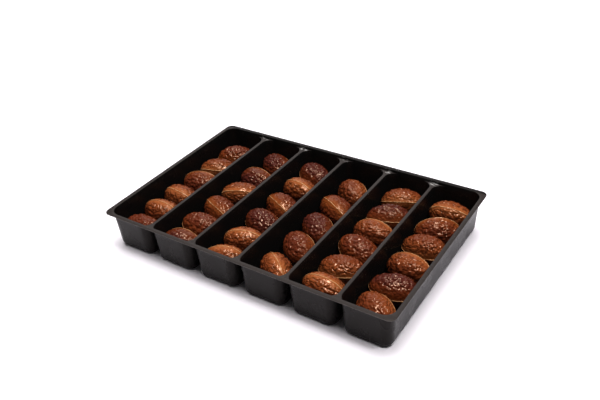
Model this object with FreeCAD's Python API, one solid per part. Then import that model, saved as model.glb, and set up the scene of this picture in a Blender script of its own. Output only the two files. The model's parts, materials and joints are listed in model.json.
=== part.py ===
"""Thermoformed chocolate tray with six troughs, filled with moulded chocolate eggs.

Millimetres, +Z up. The origin is on the ground, under the middle of the tray.
+X runs across the troughs. +Y runs along them, from the front end to the back end.
"""

import FreeCAD
import Part

import math
import os

# Eggs: overall, then from the blunt end to the widest section
EGG_LENGTH = 39.4
EGG_DIAMETER = 26.2
EGG_BLUNT_LENGTH = 18.0

# Clearances of an egg: to its neighbours and the walls, and to the floor under it
EGG_GAP = 0.5
FLOOR_GAP = 0.3

# Plastic sheet and the overall height of the tray
SHEET = 0.5
TRAY_HEIGHT = 35.0

# Flange around the rim, and how far the ridges between the troughs lie below it
FLANGE_WIDTH = 3.8
FLANGE_CORNER_RADIUS = 6.0
RIDGE_WIDTH = 2.8
RIDGE_DROP = 2.5

# Troughs, and the length left free in the fullest of them
TROUGH_COUNT = 6
ROW_SPARE = 4.8
WALL_DRAFT = 4.0
TROUGH_CORNER_RADIUS = 9.0
FLOOR_RADIUS = 4.0

# The eggs of each trough, from its front end to its back end: the turn of the pointed end from
# +X and its rise above level, in degrees
EGG_LIES = (
    ((4, 0), (184, 10), (0, -10), (190, 6), (28, -8), (32, -6)),
    ((2, 0), (184, 10), (-16, -10), (22, 0), (-4, -6), (148, -4)),
    ((194, 0), (16, 0), (-12, -10), (156, 4), (-12, 6), (-22, -8)),
    ((-36, 0), (144, 0), (-38, 0), (154, 4), (-40, 6)),
    ((180, 10), (14, 4), (168, 10), (-2, 4), (202, 0), (20, 2)),
    ((-30, 0), (190, 0), (-6, 6), (180, -4), (202, 0), (4, 0)),
)
# The angle of each egg's seam above level, on the side that faces the front end, in degrees
SEAM_ANGLES = (
    (-15, 92, 70, 115, 35, 5),
    (125, -8, 57, 55, 120, -25),
    (100, 85, -20, 58, 79, 0),
    (92, 150, -20, 64, 150),
    (90, 14, -15, 120, 22, 36),
    (150, 4, 120, 4, 110, 65),
)

# Shares of a row's free length: in front of each of its eggs, then behind the last one
FREE_SHARES = (
    (0, 0, 0, 2, 0, 0, 4),
    (0, 0, 0, 2, 0, 3, 0),
    (0, 1, 1, 2, 5, 1, 0),
    (6, 3, 1, 2, 1, 7),
    (1, 0, 0, 0, 0, 0, 0),
    (4, 0, 0, 3, 0, 0, 0),
)

RIDGE_LEVEL = TRAY_HEIGHT - RIDGE_DROP
DRAFT_SLOPE = math.tan(math.radians(WALL_DRAFT))
FLOOR_CORNER_RADIUS = TROUGH_CORNER_RADIUS - DRAFT_SLOPE * RIDGE_LEVEL
EGG_RADIUS = EGG_DIAMETER / 2
EGG_POINT_LENGTH = EGG_LENGTH - EGG_BLUNT_LENGTH
EGG_LEVEL = SHEET + FLOOR_GAP + EGG_RADIUS

# Level directions, in degrees from +X
ANGLE_TO_RIGHT = 0
ANGLE_TO_BACK = 90
ANGLE_TO_LEFT = 180
ANGLE_TO_FRONT = 270
# Level directions in which an egg may keep off the egg behind it, in degrees from +X
PASSING_ANGLES = range(30, 151)
# Distance at which two points count as the same
SAME_POINT = 1e-6


def reach_along(along):
    """How far an egg reaches from its widest section, where along is the cosine to its long axis."""
    half_length = EGG_POINT_LENGTH if along > 0 else EGG_BLUNT_LENGTH
    return math.hypot(half_length * along, EGG_RADIUS * math.sqrt(1 - along ** 2))


def egg_reach(lie, direction):
    """Reach of an egg, lying with its turn and tilt, in a level direction."""
    turn, tilt = lie
    return reach_along(math.cos(math.radians(direction - turn)) * math.cos(math.radians(tilt)))


def egg_offset(lie):
    """Place of an egg's widest section across the trough, when the egg lies in its middle."""
    return (egg_reach(lie, ANGLE_TO_LEFT) - egg_reach(lie, ANGLE_TO_RIGHT)) / 2


def egg_height(lie):
    """Height of an egg's widest section, when the egg lies on the floor."""
    _, tilt = lie
    return SHEET + FLOOR_GAP + reach_along(-math.sin(math.radians(tilt)))


def least_step(lie, next_lie):
    """Least distance along the trough between two eggs that stay the gap apart."""
    shift = egg_offset(next_lie) - egg_offset(lie)
    steps = []
    for direction in PASSING_ANGLES:
        apart = egg_reach(lie, direction) + egg_reach(next_lie, direction + 180) + EGG_GAP
        sideways = shift * math.cos(math.radians(direction))
        steps.append((apart - sideways) / math.sin(math.radians(direction)))
    return min(steps)


def least_steps(lies):
    return [least_step(lie, following) for lie, following in zip(lies, lies[1:])]


def row_length(lies):
    """Least length of a trough that takes a row of eggs, with the gap at each end."""
    ends = egg_reach(lies[0], ANGLE_TO_FRONT) + egg_reach(lies[-1], ANGLE_TO_BACK)
    return ends + sum(least_steps(lies)) + 2 * EGG_GAP


# Inside of a trough at the height of a level egg's centre, then at the level of the ridges
EGG_LEVEL_WIDTH = EGG_LENGTH + 2 * EGG_GAP
EGG_LEVEL_LENGTH = max(row_length(lies) for lies in EGG_LIES) + ROW_SPARE
FLARE = 2 * DRAFT_SLOPE * (RIDGE_LEVEL - EGG_LEVEL)
TROUGH_WIDTH = EGG_LEVEL_WIDTH + FLARE
TROUGH_LENGTH = EGG_LEVEL_LENGTH + FLARE
TROUGH_PITCH = TROUGH_WIDTH + RIDGE_WIDTH
TROUGHS_SPAN = TROUGH_COUNT * TROUGH_PITCH - RIDGE_WIDTH


def vector(x, y, z):
    return FreeCAD.Vector(x, y, z)


def rounded_outline(centre_x, width, length, radius, z):
    """Closed outline of a rectangle with round corners, level at height z."""
    corner_x = width / 2 - radius
    corner_y = length / 2 - radius
    turns = ((1, 1), (-1, 1), (-1, -1), (1, -1))
    arcs = []
    for quarter, (side_x, side_y) in enumerate(turns):
        centre = vector(centre_x + side_x * corner_x, side_y * corner_y, z)
        start = 90 * quarter
        arcs.append(Part.makeCircle(radius, centre, vector(0, 0, 1), start, start + 90))
    edges = []
    for arc, following in zip(arcs, arcs[1:] + arcs[:1]):
        edges.append(arc)
        edges.append(Part.makeLine(arc.lastVertex().Point, following.firstVertex().Point))
    return Part.Wire(edges)


def drafted_block(centre_x, width, length, radius, z_low, z_high):
    """Solid whose sides lean outwards by the draft; its width, length and radius hold at the ridges."""
    outlines = []
    for z in (z_low, z_high):
        growth = DRAFT_SLOPE * (z - RIDGE_LEVEL)
        sides = (width + 2 * growth, length + 2 * growth)
        outlines.append(rounded_outline(centre_x, *sides, radius + growth, z))
    return Part.makeLoft(outlines, True, True)


def round_floor(block, z_low, radius):
    """The block with the edges around its underside rounded."""
    def at_floor(edge):
        return all(abs(vertex.Z - z_low) < SAME_POINT for vertex in edge.Vertexes)
    return block.makeFillet(radius, [edge for edge in block.Edges if at_floor(edge)])


def trough_centre(trough):
    return (trough - (TROUGH_COUNT - 1) / 2) * TROUGH_PITCH


def trough_skin(trough, offset, z_low, z_high):
    """Trough as a solid: its inside with no offset, its outside with the sheet as offset."""
    corner_radius = TROUGH_CORNER_RADIUS + offset
    floor_radius = min(FLOOR_RADIUS, FLOOR_CORNER_RADIUS - SHEET) + offset
    block = drafted_block(
        trough_centre(trough),
        TROUGH_WIDTH + 2 * offset,
        TROUGH_LENGTH + 2 * offset,
        corner_radius,
        z_low,
        z_high,
    )
    return round_floor(block, z_low, floor_radius)


def build_tray():
    """Flange, rim wall and deck of ridges first, then six troughs hung under the deck."""
    deck_underside = RIDGE_LEVEL - SHEET
    rim_outside = drafted_block(
        0,
        TROUGHS_SPAN + 2 * SHEET,
        TROUGH_LENGTH + 2 * SHEET,
        TROUGH_CORNER_RADIUS + SHEET,
        deck_underside,
        TRAY_HEIGHT,
    )
    rim_inside = drafted_block(
        0, TROUGHS_SPAN, TROUGH_LENGTH, TROUGH_CORNER_RADIUS, RIDGE_LEVEL, TRAY_HEIGHT
    )
    flange_reach = 2 * (FLANGE_WIDTH + DRAFT_SLOPE * RIDGE_DROP)
    flange_outline = rounded_outline(
        0,
        TROUGHS_SPAN + flange_reach,
        TROUGH_LENGTH + flange_reach,
        FLANGE_CORNER_RADIUS,
        TRAY_HEIGHT - SHEET,
    )
    flange = Part.Face(flange_outline).extrude(vector(0, 0, SHEET))
    outsides = [trough_skin(n, SHEET, 0, deck_underside) for n in range(TROUGH_COUNT)]
    insides = [trough_skin(n, 0, SHEET, RIDGE_LEVEL) for n in range(TROUGH_COUNT)]
    body = rim_outside.fuse([flange] + outsides)
    return body.cut([rim_inside] + insides).removeSplitter()


def quarter_ellipse(half_length):
    """Upper outline of one end of an egg, from its tip to its widest section."""
    quarter_circle = Part.makeCircle(EGG_RADIUS, vector(0, 0, 0), vector(0, 0, 1), 0, 90)
    stretch = FreeCAD.Matrix()
    stretch.scale(half_length / EGG_RADIUS, 1, 1)
    return quarter_circle.transformGeometry(stretch)


def build_egg_half():
    """Upper half of an egg, lying on its seam face: its outline turned half round the long axis."""
    axis_line = Part.makeLine(vector(-EGG_BLUNT_LENGTH, 0, 0), vector(EGG_POINT_LENGTH, 0, 0))
    ends = [quarter_ellipse(-EGG_BLUNT_LENGTH), quarter_ellipse(EGG_POINT_LENGTH)]
    profile = Part.Wire(Part.__sortEdges__(ends + [axis_line]))
    return Part.Face(profile).revolve(vector(0, 0, 0), vector(1, 0, 0), 180)


def lay_row(lies, shares):
    """Places along the trough of the eggs of one row, with the free length shared out."""
    free = EGG_LEVEL_LENGTH - row_length(lies)
    unit = free / sum(shares)
    y = EGG_GAP + egg_reach(lies[0], ANGLE_TO_FRONT) - EGG_LEVEL_LENGTH / 2
    places = []
    for share, step in zip(shares, least_steps(lies) + [0]):
        y += share * unit
        places.append(y)
        y += step
    return places


def build_egg(half, trough, y, lie, seam):
    """Two halves joined at the seam, rolled to the seam's angle, tilted, turned and set in place."""
    turn, tilt = lie
    middle = vector(0, 0, 0)
    long_axis = vector(1, 0, 0)
    lower = half.copy()
    lower.rotate(middle, long_axis, 180)
    egg = Part.makeCompound([half.copy(), lower])
    points_to_plus_x = math.cos(math.radians(turn)) > 0
    egg.rotate(middle, long_axis, -seam if points_to_plus_x else seam)
    egg.rotate(middle, vector(0, 1, 0), -tilt)
    egg.rotate(middle, vector(0, 0, 1), turn)
    egg.translate(vector(trough_centre(trough) + egg_offset(lie), y, egg_height(lie)))
    return egg


def main():
    os.makedirs("parts", exist_ok=True)
    build_tray().exportStep("parts/tray.step")
    half = build_egg_half()
    for trough, (lies, seams, shares) in enumerate(zip(EGG_LIES, SEAM_ANGLES, FREE_SHARES)):
        eggs = zip(lay_row(lies, shares), lies, seams)
        for number, (y, lie, seam) in enumerate(eggs, start=1):
            egg = build_egg(half, trough, y, lie, seam)
            egg.exportStep(f"parts/egg_{trough + 1}_{number}.step")


main()
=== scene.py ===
import json
import math

import bpy
import numpy as np
from mathutils import Matrix, Vector


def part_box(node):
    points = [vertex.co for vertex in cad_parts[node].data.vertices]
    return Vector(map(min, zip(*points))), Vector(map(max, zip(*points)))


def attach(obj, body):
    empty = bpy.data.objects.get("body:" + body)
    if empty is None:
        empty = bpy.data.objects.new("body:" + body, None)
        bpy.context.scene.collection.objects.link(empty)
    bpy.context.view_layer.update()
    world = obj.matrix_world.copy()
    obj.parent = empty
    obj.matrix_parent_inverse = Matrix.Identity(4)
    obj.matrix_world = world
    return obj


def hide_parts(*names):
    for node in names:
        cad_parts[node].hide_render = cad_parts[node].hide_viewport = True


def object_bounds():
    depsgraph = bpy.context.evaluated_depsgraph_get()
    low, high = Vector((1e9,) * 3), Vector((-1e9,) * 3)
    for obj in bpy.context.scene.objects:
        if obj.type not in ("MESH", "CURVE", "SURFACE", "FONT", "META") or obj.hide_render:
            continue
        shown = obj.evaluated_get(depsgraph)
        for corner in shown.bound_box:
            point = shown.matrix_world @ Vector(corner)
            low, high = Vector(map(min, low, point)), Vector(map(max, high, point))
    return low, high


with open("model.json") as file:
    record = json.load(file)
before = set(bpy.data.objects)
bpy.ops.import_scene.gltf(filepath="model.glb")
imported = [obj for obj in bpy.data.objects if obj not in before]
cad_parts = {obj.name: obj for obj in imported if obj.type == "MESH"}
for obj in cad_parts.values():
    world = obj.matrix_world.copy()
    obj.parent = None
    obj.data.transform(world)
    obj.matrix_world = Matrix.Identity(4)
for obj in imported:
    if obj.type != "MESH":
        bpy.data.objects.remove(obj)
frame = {"nodes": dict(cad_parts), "record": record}
cad_low, cad_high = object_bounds()
bpy.ops.object.select_all(action="DESELECT")


# Tray: one sheet of black plastic, 0.5 mm thick, drawn by vacuum into six troughs and trimmed
# around the flange. Drawing rounds its edges and bends its walls a little. Its tops carry a painted
# grey sheen, the back ends of its ridges carry painted glints, and its trimmed edge is paler than the
# skin.

def new_material(name):
    """Material with a bare Principled shader. Returns the material, its nodes, links and shader."""
    material = bpy.data.materials.new(name)
    material.use_nodes = True
    tree = material.node_tree
    return material, tree.nodes, tree.links, tree.nodes["Principled BSDF"]


def add_noise(nodes, links, vector, scale, detail):
    noise = nodes.new("ShaderNodeTexNoise")
    noise.inputs["Scale"].default_value = scale
    noise.inputs["Detail"].default_value = detail
    links.new(vector, noise.inputs["Vector"])
    return noise.outputs["Fac"]


def add_map(nodes, links, value, low, high, to_low, to_high):
    """Smooth step of a value between two limits."""
    step = nodes.new("ShaderNodeMapRange")
    step.interpolation_type = "SMOOTHSTEP"
    step.inputs["From Min"].default_value = low
    step.inputs["From Max"].default_value = high
    step.inputs["To Min"].default_value = to_low
    step.inputs["To Max"].default_value = to_high
    links.new(value, step.inputs["Value"])
    return step.outputs["Result"]


def add_mix(nodes, links, factor, first, second):
    """Mix of two colours, each a socket or a plain colour."""
    mix = nodes.new("ShaderNodeMix")
    mix.data_type = "RGBA"
    links.new(factor, mix.inputs["Factor"])
    for socket, colour in ((mix.inputs["A"], first), (mix.inputs["B"], second)):
        if isinstance(colour, tuple):
            socket.default_value = (*colour, 1)
        else:
            links.new(colour, socket)
    return mix.outputs["Result"]


def add_math(nodes, links, operation, first, second):
    """Arithmetic on a socket and a second socket or plain number."""
    node = nodes.new("ShaderNodeMath")
    node.operation = operation
    links.new(first, node.inputs[0])
    if isinstance(second, (int, float)):
        node.inputs[1].default_value = second
    else:
        links.new(second, node.inputs[1])
    return node.outputs["Value"]


def add_split(nodes, links, vector):
    """The X, Y and Z sockets of a vector."""
    split = nodes.new("ShaderNodeSeparateXYZ")
    links.new(vector, split.inputs["Vector"])
    return split.outputs["X"], split.outputs["Y"], split.outputs["Z"]


def add_attribute(nodes, name):
    attribute = nodes.new("ShaderNodeAttribute")
    attribute.attribute_name = name
    return attribute.outputs["Fac"]


def coordinates(mesh):
    places = np.empty(len(mesh.vertices) * 3)
    mesh.vertices.foreach_get("co", places)
    return places.reshape(-1, 3)


def smooth_step(low, high, values):
    share = np.clip((values - low) / (high - low), 0, 1)
    return share * share * (3 - 2 * share)


def set_group(piece, name, weights):
    group = piece.vertex_groups.new(name=name)
    for index, weight in enumerate(weights):
        group.add((index,), float(weight), "REPLACE")


def set_attribute(piece, name, domain, values):
    attribute = piece.data.attributes.new(name, "FLOAT", domain)
    attribute.data.foreach_set("value", np.asarray(values, dtype=np.float32))


def apply_modifier(piece, modifier):
    bpy.context.view_layer.objects.active = piece
    bpy.ops.object.modifier_apply(modifier=modifier.name)


def cut_into_strips(low, high, axis, width):
    """Cuts the mesh in edit mode across an axis, so that its flat walls can bend."""
    normal = Vector((0, 0, 0))
    normal[axis] = 1
    count = int((high[axis] - low[axis]) / width)
    for strip in range(1, count):
        place = low + normal * (strip * (high[axis] - low[axis]) / count)
        bpy.ops.mesh.select_all(action="SELECT")
        bpy.ops.mesh.bisect(plane_co=place, plane_no=normal)


def warp(piece, texture, group, direction, depth):
    """Bends a piece along one direction, both skins alike, where the group has weight."""
    bend = piece.modifiers.new(texture.name, "DISPLACE")
    bend.texture = texture
    bend.texture_coords = "LOCAL"
    bend.vertex_group = group
    bend.direction = direction
    bend.strength = depth
    bend.mid_level = 0.5
    apply_modifier(piece, bend)


def model_tray_sheet():
    """The sheet of the CAD model with rounded edges and slightly wavy walls."""
    merge_distance = 1e-6
    flat_angle = math.radians(0.5)
    sharp_angle = math.radians(50)
    smooth_angle = math.radians(30)
    edge_radius = 0.00018
    strip_width = 0.007
    wave_length = 0.022
    wave_depth = 0.0003
    dent_length = 0.011
    dent_depth = 0.00015
    walls_start = cad_high.z - 0.003
    walls_full = cad_high.z - 0.012
    foot_start = 0.009
    foot_full = 0.002
    trim_height = 0.0005
    upright_limit = 0.8
    sheet = bpy.data.objects.new("tray_sheet", frame["nodes"]["tray"].data.copy())
    bpy.context.scene.collection.objects.link(sheet)
    bpy.context.view_layer.objects.active = sheet
    sheet.select_set(True)
    bpy.ops.object.mode_set(mode="EDIT")
    bpy.ops.mesh.select_all(action="SELECT")
    bpy.ops.mesh.remove_doubles(threshold=merge_distance)
    bpy.ops.mesh.dissolve_limited(angle_limit=flat_angle)
    bpy.ops.object.mode_set(mode="OBJECT")
    rounding = sheet.modifiers.new("rounded_edges", "BEVEL")
    rounding.limit_method = "ANGLE"
    rounding.angle_limit = sharp_angle
    rounding.width = edge_radius
    rounding.segments = 2
    apply_modifier(sheet, rounding)
    bpy.ops.object.mode_set(mode="EDIT")
    for axis in range(3):
        cut_into_strips(cad_low, cad_high, axis, strip_width)
    bpy.ops.object.mode_set(mode="OBJECT")
    height = coordinates(sheet.data)[:, 2]
    set_group(sheet, "walls", smooth_step(walls_start, walls_full, height))
    set_group(sheet, "foot", smooth_step(foot_start, foot_full, height))
    waves = bpy.data.textures.new("sheet_waves", "CLOUDS")
    waves.noise_scale = wave_length
    dents = bpy.data.textures.new("sheet_dents", "CLOUDS")
    dents.noise_scale = dent_length
    for direction in ("X", "Y"):
        warp(sheet, waves, "walls", direction, wave_depth)
        warp(sheet, dents, "foot", direction, dent_depth)
    bpy.ops.object.shade_smooth_by_angle(angle=smooth_angle)
    trimmed = []
    for face in sheet.data.polygons:
        outward = face.normal.x * face.center.x + face.normal.y * face.center.y > 0
        at_rim = face.center.z > cad_high.z - trim_height
        trimmed.append(outward and at_rim and abs(face.normal.z) < upright_limit)
    set_attribute(sheet, "trimmed_edge", "FACE", trimmed)
    sheet.select_set(False)
    return sheet


def make_tray_plastic():
    """Black plastic with specks of dust, a painted sheen on its tops, painted glints on its ridge ends and
    a pale trimmed edge.
    """
    black = (0.0066, 0.0058, 0.0056)
    # Painted sheen: the lighter grey that the up-facing tops are mixed to
    painted_top_sheen = (0.029, 0.024, 0.0225)
    dust = (0.09, 0.086, 0.082)
    pale_edge = (0.075, 0.067, 0.063)
    # Painted glints: the pale white of the streaks at the back ends of the ridges
    painted_glint_white = (0.34, 0.325, 0.315)
    ridge_spacing = 0.0458
    ridge_share = (0.12, 0.05)
    outermost_ridge = (0.122, 0.118)
    tops = (cad_high.z - 0.0032, cad_high.z - 0.0026)
    back_flange = (cad_high.y - 0.0044, cad_high.y - 0.0036)
    back_ends = (cad_high.y - 0.0085, cad_high.y - 0.0055)
    level = (0.6, 0.9)
    speck_scale = 900
    glint_streak_scale = 900
    glint_streak_stretch = (0.25, 1, 1)
    haze_scale = 60
    haze_roughness = (0.24, 0.34)
    peel_scale = 420
    peel_height = 0.0002
    peel_strength = 0.15
    material, nodes, links, shader = new_material("tray_plastic")
    place = nodes.new("ShaderNodeTexCoord").outputs["Object"]
    specks = add_noise(nodes, links, place, speck_scale, 2)
    speck_mask = add_map(nodes, links, specks, 0.74, 0.80, 0, 1)
    along, across, height = add_split(nodes, links, place)
    facing_up = add_split(nodes, links, nodes.new("ShaderNodeNewGeometry").outputs["Normal"])[2]
    # Painted sheen: flange and ridge tops that look up turn a lighter grey, less so on the back flange
    rim = add_map(nodes, links, height, *tops, 0, 1)
    top = add_math(nodes, links, "MULTIPLY", rim, add_map(nodes, links, facing_up, *level, 0, 1))
    less_sheen_at_back = add_map(nodes, links, across, *back_flange, 1, 0.2)
    skin = add_mix(nodes, links, add_math(nodes, links, "MULTIPLY", top, less_sheen_at_back), black, painted_top_sheen)
    # Painted glints: pale streaks where the inner ridges meet the back flange
    ridge_count = add_math(nodes, links, "DIVIDE", along, ridge_spacing)
    from_ridge = add_math(nodes, links, "PINGPONG", ridge_count, 0.5)
    ridge_end = add_map(nodes, links, from_ridge, *ridge_share, 0, 1)
    back_end = add_map(nodes, links, across, *back_ends, 0, 1)
    before_flange = add_map(nodes, links, across, *back_flange, 1, 0)
    from_middle = add_math(nodes, links, "ABSOLUTE", along, 0)
    inner = add_map(nodes, links, from_middle, *outermost_ridge, 0, 1)
    streak_place = nodes.new("ShaderNodeMapping")
    streak_place.inputs["Scale"].default_value = glint_streak_stretch
    links.new(place, streak_place.inputs["Vector"])
    glint_streaks = add_noise(nodes, links, streak_place.outputs["Vector"], glint_streak_scale, 1)
    glint_marks = add_map(nodes, links, glint_streaks, 0.52, 0.62, 0, 1)
    for mask in (ridge_end, back_end, before_flange, inner, rim):
        glint_marks = add_math(nodes, links, "MULTIPLY", glint_marks, mask)
    with_painted_glints = add_mix(nodes, links, glint_marks, skin, painted_glint_white)
    dusty = add_mix(nodes, links, speck_mask, with_painted_glints, dust)
    trimmed = add_attribute(nodes, "trimmed_edge")
    links.new(add_mix(nodes, links, trimmed, dusty, pale_edge), shader.inputs["Base Color"])
    haze = add_noise(nodes, links, place, haze_scale, 4)
    links.new(add_map(nodes, links, haze, 0.3, 0.7, *haze_roughness), shader.inputs["Roughness"])
    orange_peel = nodes.new("ShaderNodeBump")
    orange_peel.inputs["Strength"].default_value = peel_strength
    orange_peel.inputs["Distance"].default_value = peel_height
    links.new(add_noise(nodes, links, place, peel_scale, 2), orange_peel.inputs["Height"])
    links.new(orange_peel.outputs["Normal"], shader.inputs["Normal"])
    shader.inputs["IOR"].default_value = 1.17
    shader.inputs["Specular Tint"].default_value = (1.0, 0.89, 0.84, 1)
    return material


tray_plastic = make_tray_plastic()
tray_sheet = model_tray_sheet()
tray_sheet.data.materials.clear()
tray_sheet.data.materials.append(tray_plastic)
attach(tray_sheet, "tray")
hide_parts("tray")


# Eggs: chocolate moulded in two halves that meet at a seam with a thin flash. Each half is
# crackled, with pebbles at its crown and smoother chocolate towards the seam, and its colour
# runs from golden brown at the seam to red or purple brown at the crown.

EGG_RADIUS = 0.0131
EGG_BLUNT_LENGTH = 0.0180
EGG_POINT_LENGTH = 0.0214

# The eggs of each trough, from its front end to its back end: the turn of the pointed end from
# +X and its rise above level, then the angle of the seam on the front side, in degrees
EGG_LIES = (
    ((4, 0), (184, 10), (0, -10), (190, 6), (28, -8), (32, -6)),
    ((2, 0), (184, 10), (-16, -10), (22, 0), (-4, -6), (148, -4)),
    ((194, 0), (16, 0), (-12, -10), (156, 4), (-12, 6), (-22, -8)),
    ((-36, 0), (144, 0), (-38, 0), (154, 4), (-40, 6)),
    ((180, 10), (14, 4), (168, 10), (-2, 4), (202, 0), (20, 2)),
    ((-30, 0), (190, 0), (-6, 6), (180, -4), (202, 0), (4, 0)),
)
SEAM_ANGLES = (
    (-15, 92, 70, 115, 35, 5),
    (125, -8, 57, 55, 120, -25),
    (100, 85, -20, 58, 79, 0),
    (92, 150, -20, 64, 150),
    (90, 14, -15, 120, 22, 36),
    (150, 4, 120, 4, 110, 65),
)


def vertex_normals(mesh):
    normals = np.empty(len(mesh.vertices) * 3)
    mesh.vertices.foreach_get("normal", normals)
    return normals.reshape(-1, 3)


def model_egg_blank():
    """Smooth egg with its flash, long axis along X and seam level, in the middle of the scene."""
    cuts = 63
    flash_width = 0.00060
    flash_height = 0.00028
    flash_reach = 0.6 * flash_width
    seam_tolerance = 1e-7
    wobble_length = 0.004
    wobble_depth = 0.0006
    seam_groove_share = 0.5
    pebble_zone = (0.35, 0.8)
    grain_zone = (0.02, 0.14)
    crack_zone = (0.08, 0.4)
    cracks_lost_in_pebbles = 0.65
    bpy.ops.mesh.primitive_cube_add(size=2)
    blank = bpy.context.object
    bpy.ops.object.mode_set(mode="EDIT")
    bpy.ops.mesh.subdivide(number_cuts=cuts)
    bpy.ops.object.mode_set(mode="OBJECT")
    even = np.tan(coordinates(blank.data) * math.pi / 4)
    shaped = even / np.linalg.norm(even, axis=1, keepdims=True)
    shaped[:, 0] *= np.where(shaped[:, 0] > 0, EGG_POINT_LENGTH, EGG_BLUNT_LENGTH)
    shaped[:, 1:] *= EGG_RADIUS
    blank.data.vertices.foreach_set("co", shaped.ravel())
    on_seam = np.abs(shaped[:, 2]) < seam_tolerance
    for vertex, chosen in zip(blank.data.vertices, on_seam):
        vertex.select = bool(chosen)
    for edge in blank.data.edges:
        edge.select = bool(on_seam[list(edge.vertices)].all())
    for face in blank.data.polygons:
        face.select = False
    bpy.ops.object.mode_set(mode="EDIT")
    bpy.ops.mesh.select_mode(type="EDGE")
    bpy.ops.mesh.bevel(offset=flash_width / 2, segments=1, affect="EDGES")
    bpy.ops.mesh.select_mode(type="FACE")
    bpy.ops.mesh.extrude_region()
    bpy.ops.transform.shrink_fatten(value=flash_height)
    bpy.ops.object.mode_set(mode="OBJECT")
    bpy.ops.object.shade_smooth()
    flash = np.array([vertex.select for vertex in blank.data.vertices])
    beside_flash = (np.abs(coordinates(blank.data)[:, 2]) < flash_reach) & ~flash
    crown = np.abs(vertex_normals(blank.data)[:, 2])
    crown[flash | beside_flash] = 0
    set_group(blank, "seam", flash | beside_flash)
    wobble = bpy.data.textures.new("seam_wobble", "CLOUDS")
    wobble.noise_scale = wobble_length
    warp(blank, wobble, "seam", "Z", wobble_depth)
    pebbles = smooth_step(*pebble_zone, crown)
    grain = smooth_step(*grain_zone, crown)
    cracks = smooth_step(*crack_zone, crown) * (1 - cracks_lost_in_pebbles * pebbles)
    set_group(blank, "grain", grain)
    set_group(blank, "pebbles", pebbles)
    set_group(blank, "cracks", cracks)
    set_attribute(blank, "crown", "POINT", crown)
    set_attribute(blank, "flash_line", "POINT", flash)
    # Painted shade: a thin dark line beside the flash, carried by the seam_groove attribute
    set_attribute(blank, "seam_groove", "POINT", seam_groove_share * beside_flash)
    return blank


def make_relief(name, basis, cell, wobble, profile):
    """Procedural texture of a relief; profile gives its height from 0 to 1 over the texture's value."""
    texture = bpy.data.textures.new(name, "DISTORTED_NOISE")
    texture.noise_basis = basis
    texture.noise_distortion = "ORIGINAL_PERLIN"
    texture.noise_scale = cell
    texture.distortion = wobble
    texture.contrast = 0.5
    texture.intensity = 1.25
    texture.use_color_ramp = True
    ramp = texture.color_ramp
    while len(ramp.elements) < len(profile):
        ramp.elements.new(0.5)
    for element, (position, height) in zip(ramp.elements, profile):
        element.position = position
        element.color = (height, height, height, 1)
    return texture


def carve(piece, texture, group, depth, surface):
    """Presses a relief into a piece along its normals; the height named surface stays in place."""
    relief = piece.modifiers.new(texture.name, "DISPLACE")
    relief.texture = texture
    relief.texture_coords = "LOCAL"
    relief.vertex_group = group
    relief.strength = depth
    relief.mid_level = surface
    apply_modifier(piece, relief)


swell_profile = ((0.2, 0), (0.8, 1))
crack_profile = ((0, 0), (0.12, 0.5), (0.28, 0.9), (0.5, 1))
pebble_profile = ((0, 1), (0.2, 0.92), (0.4, 0.67), (0.55, 0.38), (0.72, 0))
egg_swell = make_relief("egg_swell", "ORIGINAL_PERLIN", cell=0.007, wobble=0.0, profile=swell_profile)
egg_cracks = make_relief("egg_cracks", "VORONOI_F2_F1", cell=0.0058, wobble=0.6, profile=crack_profile)
egg_pebbles = make_relief("egg_pebbles", "VORONOI_F1", cell=0.0033, wobble=0.15, profile=pebble_profile)
egg_grain = make_relief("egg_grain", "VORONOI_F1", cell=0.0021, wobble=0.1, profile=pebble_profile)

# How deep each relief is, and which height of its profile stays at the egg's smooth surface
SWELL_DEPTH = 0.00040
SWELL_SURFACE = 0.6
CRACK_DEPTH = 0.00090
CRACK_SURFACE = 0.8
PEBBLE_DEPTH = 0.00095
PEBBLE_SURFACE = 0.75
GRAIN_DEPTH = 0.00032
GRAIN_SURFACE = 0.75


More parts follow.
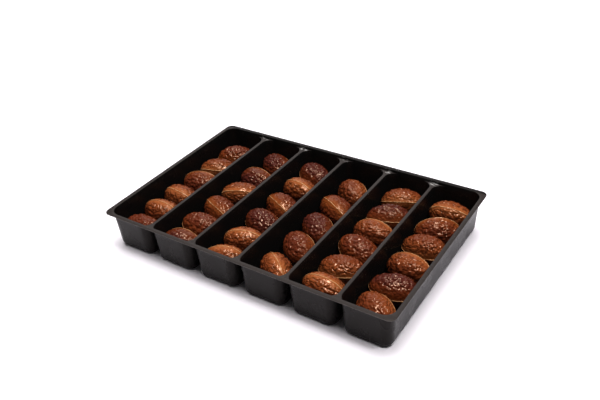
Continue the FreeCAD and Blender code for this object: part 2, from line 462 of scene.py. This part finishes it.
def make_chocolate_group():
    """Colour of moulded chocolate from its place between seam and crown, with painted shade in its grooves
    and on its steep and downward faces, a painted lift on faces that look up, and a flash line painted
    pale, partly its own paler colour and partly a painted highlight.
    """
    pale_flash_and_highlight = (0.48, 0.235, 0.10)
    patch_scale = 130
    patch_strength = 0.8
    flank_zone = (0.45, 0.9)
    crown_zone = (0.9, 1.35)
    mottle_scale = 700
    mottle_shade = (0.86, 1.1)
    groove_zone = (0.12, 0.6)
    painted_groove_shade = (1.03, 0.4)
    upward_zone = (0.45, 0.97)
    painted_top_light = 1.07
    break_scale = 260
    break_zone = (0.35, 0.55)
    satin_zone = (0.2, 0.5)
    satin_roughness = (0.19, 0.10)
    patch_roughness = (0.10, 0.19)
    skin_scale = 1100
    skin_zone = (0.2, 0.7)
    group = bpy.data.node_groups.new("moulded_chocolate", "ShaderNodeTree")
    for name in ("Seam Colour", "Flank Colour", "Crown Colour"):
        group.interface.new_socket(name=name, in_out="INPUT", socket_type="NodeSocketColor")
    group.interface.new_socket(name="Painted Underside Shade", in_out="INPUT", socket_type="NodeSocketFloat")
    group.interface.new_socket(name="Color", in_out="OUTPUT", socket_type="NodeSocketColor")
    group.interface.new_socket(name="Roughness", in_out="OUTPUT", socket_type="NodeSocketFloat")
    group.interface.new_socket(name="Height", in_out="OUTPUT", socket_type="NodeSocketFloat")
    nodes, links = group.nodes, group.links
    given = nodes.new("NodeGroupInput").outputs
    result = nodes.new("NodeGroupOutput").inputs
    place = nodes.new("ShaderNodeTexCoord").outputs["Object"]
    crown = add_attribute(nodes, "crown")
    patches = add_noise(nodes, links, place, patch_scale, 3)
    shift = add_math(nodes, links, "MULTIPLY", patches, patch_strength)
    zone = add_math(nodes, links, "ADD", shift, crown)
    to_flank = add_map(nodes, links, zone, *flank_zone, 0, 1)
    to_crown = add_map(nodes, links, zone, *crown_zone, 0, 1)
    flank = add_mix(nodes, links, to_flank, given["Seam Colour"], given["Flank Colour"])
    body = add_mix(nodes, links, to_crown, flank, given["Crown Colour"])
    spots = add_noise(nodes, links, place, mottle_scale, 2)
    mottle = add_map(nodes, links, spots, 0.3, 0.7, *mottle_shade)
    # Painted shade: the colour darkens in the cracks and in the band beside the flash
    groove = add_attribute(nodes, "groove")
    seam_groove = add_attribute(nodes, "seam_groove")
    sunk = add_math(nodes, links, "MAXIMUM", groove, seam_groove)
    depth = add_map(nodes, links, sunk, *groove_zone, *painted_groove_shade)
    shaded = nodes.new("ShaderNodeVectorMath")
    shaded.operation = "SCALE"
    links.new(body, shaded.inputs[0])
    # Painted light and shade: faces that look up are lifted, steep and downward faces are darkened by the
    # underside factor of each chocolate
    facing_up = add_split(nodes, links, nodes.new("ShaderNodeNewGeometry").outputs["Normal"])[2]
    painted_light_by_facing = add_map(nodes, links, facing_up, *upward_zone, 0, painted_top_light)
    links.new(given["Painted Underside Shade"], painted_light_by_facing.node.inputs["To Min"])
    darkness = add_math(nodes, links, "MULTIPLY", mottle, depth)
    shade = add_math(nodes, links, "MULTIPLY", darkness, painted_light_by_facing)
    links.new(shade, shaded.inputs["Scale"])
    # The flash line is painted pale in broken stretches: partly the flash's own paler chocolate, partly a
    # painted highlight along the thin raised fin
    chips = add_noise(nodes, links, place, break_scale, 2)
    breaks = add_map(nodes, links, chips, *break_zone, 0.25, 1)
    flash = add_math(nodes, links, "MULTIPLY", add_attribute(nodes, "flash_line"), breaks)
    links.new(add_mix(nodes, links, flash, shaded.outputs["Vector"], pale_flash_and_highlight), result["Color"])
    satin = add_map(nodes, links, crown, *satin_zone, *satin_roughness)
    gloss = add_map(nodes, links, patches, 0.3, 0.7, *patch_roughness)
    links.new(add_math(nodes, links, "MAXIMUM", satin, gloss), result["Roughness"])
    fine = add_noise(nodes, links, place, skin_scale, 2)
    rough_crown = add_map(nodes, links, crown, *skin_zone, 0.25, 1)
    links.new(add_math(nodes, links, "MULTIPLY", fine, rough_crown), result["Height"])
    return group


moulded_chocolate = make_chocolate_group()


def make_chocolate(name, seam, flank, crown, painted_underside_shade):
    """Chocolate of one colour, with painted shade on its steep and downward faces whose depth its last
    argument sets.
    """
    bump_strength = 0.06
    bump_height = 0.0003
    material, nodes, links, shader = new_material(name)
    colours = nodes.new("ShaderNodeGroup")
    colours.node_tree = moulded_chocolate
    for socket, colour in (("Seam Colour", seam), ("Flank Colour", flank), ("Crown Colour", crown)):
        colours.inputs[socket].default_value = (*colour, 1)
    colours.inputs["Painted Underside Shade"].default_value = painted_underside_shade
    links.new(colours.outputs["Color"], shader.inputs["Base Color"])
    links.new(colours.outputs["Roughness"], shader.inputs["Roughness"])
    bump = nodes.new("ShaderNodeBump")
    bump.inputs["Strength"].default_value = bump_strength
    bump.inputs["Distance"].default_value = bump_height
    links.new(colours.outputs["Height"], bump.inputs["Height"])
    links.new(bump.outputs["Normal"], shader.inputs["Normal"])
    shader.inputs["IOR"].default_value = 1.41
    shader.inputs["Specular Tint"].default_value = (0.95, 0.62, 0.42, 1)
    return material


# Each chocolate with its share of the cracks and of the pebbles
chocolates = {
    "golden_milk_chocolate": (
        make_chocolate(
            "golden_milk_chocolate",
            seam=(0.235, 0.064, 0.018),
            flank=(0.163, 0.0375, 0.0108),
            crown=(0.112, 0.0232, 0.0075),
            painted_underside_shade=0.43,
        ),
        0.7,
        0.8,
    ),
    "red_brown_chocolate": (
        make_chocolate(
            "red_brown_chocolate",
            seam=(0.16, 0.037, 0.0085),
            flank=(0.112, 0.0220, 0.0062),
            crown=(0.087, 0.0170, 0.007),
            painted_underside_shade=0.72,
        ),
        0.6,
        1.0,
    ),
    "dark_chocolate": (
        make_chocolate(
            "dark_chocolate",
            seam=(0.12, 0.025, 0.0068),
            flank=(0.080, 0.0148, 0.0045),
            crown=(0.057, 0.0117, 0.0076),
            painted_underside_shade=0.77,
        ),
        0.35,
        1.0,
    ),
}


def reach_along(along):
    """How far an egg reaches from its widest section, where along is the cosine to its long axis."""
    half_length = EGG_POINT_LENGTH if along > 0 else EGG_BLUNT_LENGTH
    return math.hypot(half_length * along, EGG_RADIUS * math.sqrt(1 - along ** 2))


def egg_place(node, lie, seam):
    """Matrix that carries the blank to its egg's place: rolled to its seam, tilted, turned, moved."""
    turn, tilt = (math.radians(angle) for angle in lie)
    axis = Vector((math.cos(turn) * math.cos(tilt), math.sin(turn) * math.cos(tilt), math.sin(tilt)))
    low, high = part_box(node)
    middle = (low + high) / 2
    for side in range(3):
        middle[side] += (reach_along(-axis[side]) - reach_along(axis[side])) / 2
    roll = math.radians(-seam if axis.x > 0 else seam)
    turned = Matrix.Rotation(turn, 4, "Z") @ Matrix.Rotation(-tilt, 4, "Y") @ Matrix.Rotation(roll, 4, "X")
    return Matrix.Translation(middle) @ turned


def make_egg(blank, node, lie, seam, slot):
    material, crack_share, pebble_share = chocolates[slot]
    egg = blank.copy()
    egg.data = blank.data.copy()
    egg.name = node + "_chocolate"
    bpy.context.scene.collection.objects.link(egg)
    egg.data.transform(egg_place(node, lie, seam))
    carve(egg, egg_swell, "cracks", SWELL_DEPTH, SWELL_SURFACE)
    carve(egg, egg_pebbles, "pebbles", pebble_share * PEBBLE_DEPTH, PEBBLE_SURFACE)
    carve(egg, egg_grain, "grain", GRAIN_DEPTH, GRAIN_SURFACE)
    uncracked = coordinates(egg.data)
    carve(egg, egg_cracks, "cracks", crack_share * CRACK_DEPTH, CRACK_SURFACE)
    # The crack depth goes to the groove attribute, which the chocolate turns into painted shade
    sunk = np.linalg.norm(coordinates(egg.data) - uncracked, axis=1)
    set_attribute(egg, "groove", "POINT", np.clip(sunk / CRACK_DEPTH, 0, 1))
    egg.data.materials.clear()
    egg.data.materials.append(material)
    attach(egg, node)
    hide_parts(node)


slots = {piece["node"]: piece["material_slot"] for piece in frame["record"]["subparts"]}
blank = model_egg_blank()
for trough, (lies, seams) in enumerate(zip(EGG_LIES, SEAM_ANGLES), start=1):
    for number, (lie, seam) in enumerate(zip(lies, seams), start=1):
        node = f"egg_{trough}_{number}"
        make_egg(blank, node, lie, seam, slots[node])
bpy.data.objects.remove(blank)


# Stage: white floor with a faint violet cast and white surroundings, a wide soft light overhead that
# gives the floor its white and the tray its short shadow, and small soft lights that give the eggs
# and the plastic their gloss.

FLOOR_SIZE = 60
FLOOR_COLOUR = (0.97, 0.915, 0.965, 1)
WORLD_AS_LIGHT = 0.05
WORLD_AS_BACKDROP = 1

bpy.ops.mesh.primitive_plane_add(size=FLOOR_SIZE)
floor = bpy.context.object
floor.name = "floor"
floor_white, _, _, floor_shader = new_material("floor_white")
floor_shader.inputs["Base Color"].default_value = FLOOR_COLOUR
floor_shader.inputs["Roughness"].default_value = 0.9
floor.data.materials.append(floor_white)

world = bpy.data.worlds.new("surroundings")
world.use_nodes = True
backdrop = world.node_tree.nodes["Background"]
backdrop.inputs["Color"].default_value = (1, 1, 1, 1)
to_camera = world.node_tree.nodes.new("ShaderNodeLightPath").outputs["Is Camera Ray"]
world_nodes, world_links = world.node_tree.nodes, world.node_tree.links
brightness = add_map(world_nodes, world_links, to_camera, 0, 1, WORLD_AS_LIGHT, WORLD_AS_BACKDROP)
world_links.new(brightness, backdrop.inputs["Strength"])
bpy.context.scene.world = world
bpy.context.scene.view_settings.view_transform = "Standard"


def add_softbox(name, place, size, power):
    bpy.ops.object.light_add(type="AREA", location=place)
    light = bpy.context.object
    light.name = name
    light.data.size = size
    light.data.energy = power
    light.rotation_euler = (-light.location).to_track_quat("-Z", "Y").to_euler()
    return light


gloss = add_softbox("gloss_softbox", place=(0.0, 0.03, 1.25), size=0.3, power=16)
gloss.visible_diffuse = False
add_softbox("right_softbox", place=(0.60, -0.10, 1.06), size=0.14, power=4.0)
bpy.ops.object.light_add(type="SUN", location=(-0.08, 0.14, 1.2))
overhead = bpy.context.object
overhead.name = "overhead_light"
overhead.data.angle = math.radians(50)
overhead.data.energy = 4.8
overhead.rotation_euler = (-overhead.location).to_track_quat("-Z", "Y").to_euler()
overhead.visible_glossy = False
back_card = add_softbox("back_card", place=(-0.9, 1.3, 1.05), size=1.2, power=5)
back_card.visible_diffuse = False


# Camera at the photograph's viewing angle, in metres and degrees. Its lens is given in pixels of an
# image 600 pixels wide.

AZIMUTH = math.radians(34.778)
ELEVATION = math.radians(33.729)
ROLL = math.radians(-3.855)
CAMERA_PLACE = Vector((0.29105, -0.41075, 0.37376))
LENS_PIXELS = 700.8
IMAGE_WIDTH = 600

forward = Vector((
    -math.sin(AZIMUTH) * math.cos(ELEVATION),
    math.cos(AZIMUTH) * math.cos(ELEVATION),
    -math.sin(ELEVATION),
))
level = forward.cross(Vector((0, 0, 1))).normalized()
right = Matrix.Rotation(-ROLL, 3, forward) @ level
up = right.cross(forward)
camera_data = bpy.data.cameras.new("camera")
camera = bpy.data.objects.new("camera", camera_data)
bpy.context.scene.collection.objects.link(camera)
camera_turn = Matrix((right, up, -forward)).transposed().to_4x4()
camera.matrix_world = Matrix.Translation(CAMERA_PLACE) @ camera_turn
camera_data.sensor_width = 36
camera_data.lens = camera_data.sensor_width * LENS_PIXELS / IMAGE_WIDTH
camera_data.clip_start = 0.01
bpy.context.scene.camera = camera
